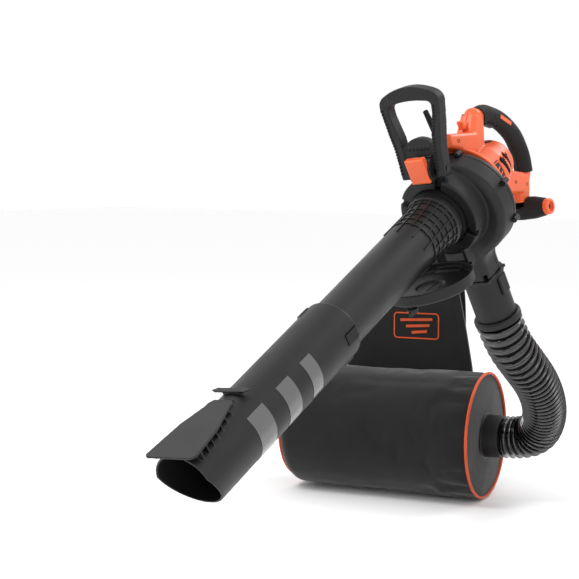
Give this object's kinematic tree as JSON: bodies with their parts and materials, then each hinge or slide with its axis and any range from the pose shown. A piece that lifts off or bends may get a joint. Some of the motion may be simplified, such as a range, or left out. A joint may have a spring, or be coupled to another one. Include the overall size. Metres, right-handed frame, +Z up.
{
  "type": "leaf blower vacuum",
  "caption": "Corded leaf vacuum and blower with a tilting bail, arched grip, wide suction tube, ribbed hose and a barrel-shaped backpack bag.",
  "frame": {"origin": "middle of the arched main grip, where the hand holds the power head", "axes": "+Z up, +X to the right of the power head, +Y back from the nozzle towards the motor and the worn bag"},
  "size_m": [0.8104, 1.5881, 0.9411],
  "materials": {
    "orange_housing": "satin moulded, fine spark texture",
    "black_case": "moulded, fine texture",
    "black_tube": "satin moulded tube",
    "grip_rubber": "soft overmould, matt",
    "window_grey": "glossy smoked",
    "hose_black": "glossy ribbed",
    "bag_fabric": "tight woven polyester",
    "piping_orange": "corded piping",
    "webbing": "padded webbing",
    "steel": "turned",
    "screw_black": "black zinc",
    "laminated_steel": "stamped laminations",
    "copper": "copper bars",
    "fan_alloy": "cast"
  },
  "bodies": {
    "head": {"housing_left": "orange_housing", "housing_right": "orange_housing", "rubber_grip_left": "grip_rubber", "rubber_grip_right": "grip_rubber", "grip_inlays": "orange_housing", "cord_guard": "grip_rubber", "cord_hook": "orange_housing", "switch": "black_case", "top_vent": "black_case", "side_vents": "black_case", "badges": "black_case", "housing_screws": "screw_black", "motor_stator": "laminated_steel", "brush_holders": "copper", "motor_bearings": "steel", "volute_front": "black_case", "volute_rear": "black_case", "fan_case_screws": "screw_black", "outlet_adapter": "black_case", "hose_cuff": "black_case", "hose": "hose_black", "bag_collar": "black_case", "bag_body": "bag_fabric", "bag_piping": "piping_orange", "bag_zip": "webbing", "back_panel": "bag_fabric", "shoulder_straps": "webbing", "strap_buckles": "black_case", "aux_handle_grip": "grip_rubber", "aux_handle_caps": "orange_housing", "aux_handle_bolt": "steel", "upper_tube": "black_tube", "bail_pin": "steel", "door_hinge_pin": "steel", "trigger_spring": "steel"},
    "rotor": {"motor_shaft": "steel", "armature": "laminated_steel", "commutator": "copper", "fan_wheel": "fan_alloy", "fan_nut": "steel", "shredder_blade": "steel"},
    "trigger": {"trigger": "black_case"},
    "lock_on": {"lock_on_button": "black_case"},
    "bail": {"bail_handle": "black_case"},
    "bail_lock": {"bail_lock_button": "orange_housing"},
    "door": {"inlet_door": "black_case"},
    "door_knob": {"door_latch_knob": "black_case"},
    "nozzle": {"lower_tube": "black_tube", "tube_windows": "window_grey"},
    "tube_catch": {"tube_latch_button": "black_tube"},
    "outlet_catch": {"outlet_latch": "black_case"}
  },
  "joints": [
    {"name": "trigger_press", "type": "slide", "parent": "head", "child": "trigger", "axis": [-0.0819, 0.1911, 0.9782], "range_m": [0, 0.005], "stiffness_N_per_m": 600, "springref_m": -0.002},
    {"name": "lock_on_press", "type": "slide", "parent": "head", "child": "lock_on", "axis": [0.9945, -0.0483, 0.0927], "range_m": [0, 0.003], "stiffness_N_per_m": 500, "springref_m": -0.002},
    {"name": "rotor_spin", "type": "hinge", "parent": "head", "child": "rotor", "pos_m": [0.00355, -0.19017, -0.13712], "axis": [0, 0.887, 0.4617], "continuous": true},
    {"name": "bail_tilt", "type": "hinge", "parent": "head", "child": "bail", "pos_m": [-0.00669, -0.30436, -0.08668], "axis": [0.9945, -0.0483, 0.0927], "range_deg": [-20, 14]},
    {"name": "bail_lock_press", "type": "slide", "parent": "head", "child": "bail_lock", "axis": [0, 0.887, 0.4617], "range_m": [0, 0.003], "stiffness_N_per_m": 500, "springref_m": -0.002},
    {"name": "door_hinge", "type": "hinge", "parent": "head", "child": "door", "pos_m": [0.01443, -0.22845, -0.27365], "axis": [0.9945, -0.0483, 0.0927], "range_deg": [-2, 60]},
    {"name": "door_knob_turn", "type": "hinge", "parent": "door", "child": "door_knob", "pos_m": [0.01359, -0.38428, -0.34585], "axis": [0.1035, 0.3313, -0.9378], "range_deg": [0, 90]},
    {"name": "nozzle_pull", "type": "slide", "parent": "head", "child": "nozzle", "axis": [0, -0.887, -0.4617], "range_m": [0, 0.12]},
    {"name": "tube_catch_press", "type": "slide", "parent": "nozzle", "child": "tube_catch", "axis": [-0.9945, 0.0483, -0.0927], "range_m": [0, 0.002], "stiffness_N_per_m": 500, "springref_m": -0.002},
    {"name": "outlet_catch_press", "type": "slide", "parent": "head", "child": "outlet_catch", "axis": [-0.9945, 0.0483, -0.0927], "range_m": [0, 0.002], "stiffness_N_per_m": 500, "springref_m": -0.002}
  ]
}
